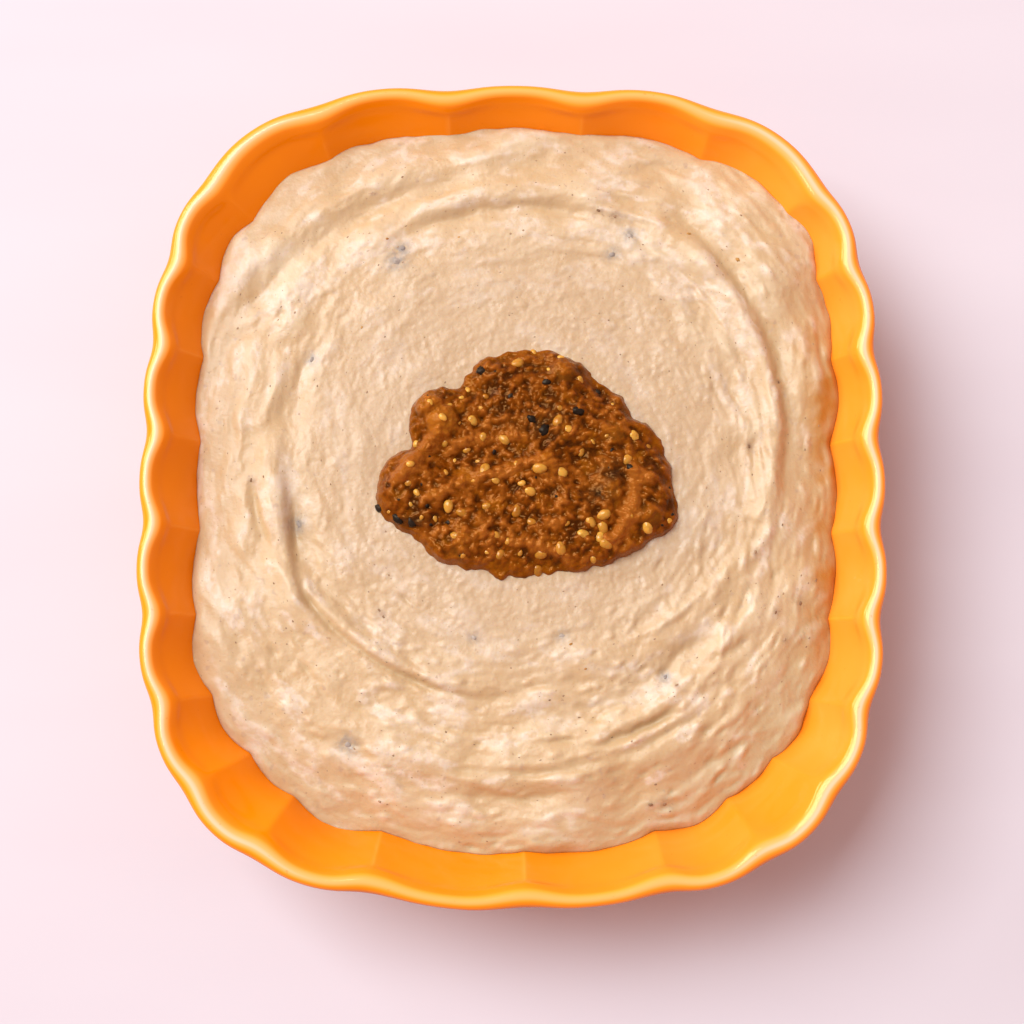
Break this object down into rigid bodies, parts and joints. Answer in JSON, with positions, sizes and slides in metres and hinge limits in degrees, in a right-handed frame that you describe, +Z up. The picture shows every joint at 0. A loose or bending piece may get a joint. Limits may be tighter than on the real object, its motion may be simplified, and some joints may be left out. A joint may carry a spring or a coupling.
{
  "type": "baba ganoush",
  "caption": "Baba ganoush: a pale swirled aubergine spread filling a fluted, glazed oven dish, with a brown spoonful of roasted aubergine and seeds on top.",
  "frame": {"origin": "middle of the dish's foot, on the surface that it stands on", "axes": "+Z up, +Y along the dish's longer side, away from the viewer, +X to the viewer's right"},
  "size_m": [0.1776, 0.1967, 0.046],
  "materials": {
    "glaze": "glossy orange glaze, pale along the lip",
    "spread": "moist, creamy, half matt",
    "topping": "wet brown pulp with yellow seeds and black flecks"
  },
  "bodies": {
    "root": {"dish": "glaze", "spread": "spread", "topping": "topping"}
  },
  "joints": []
}
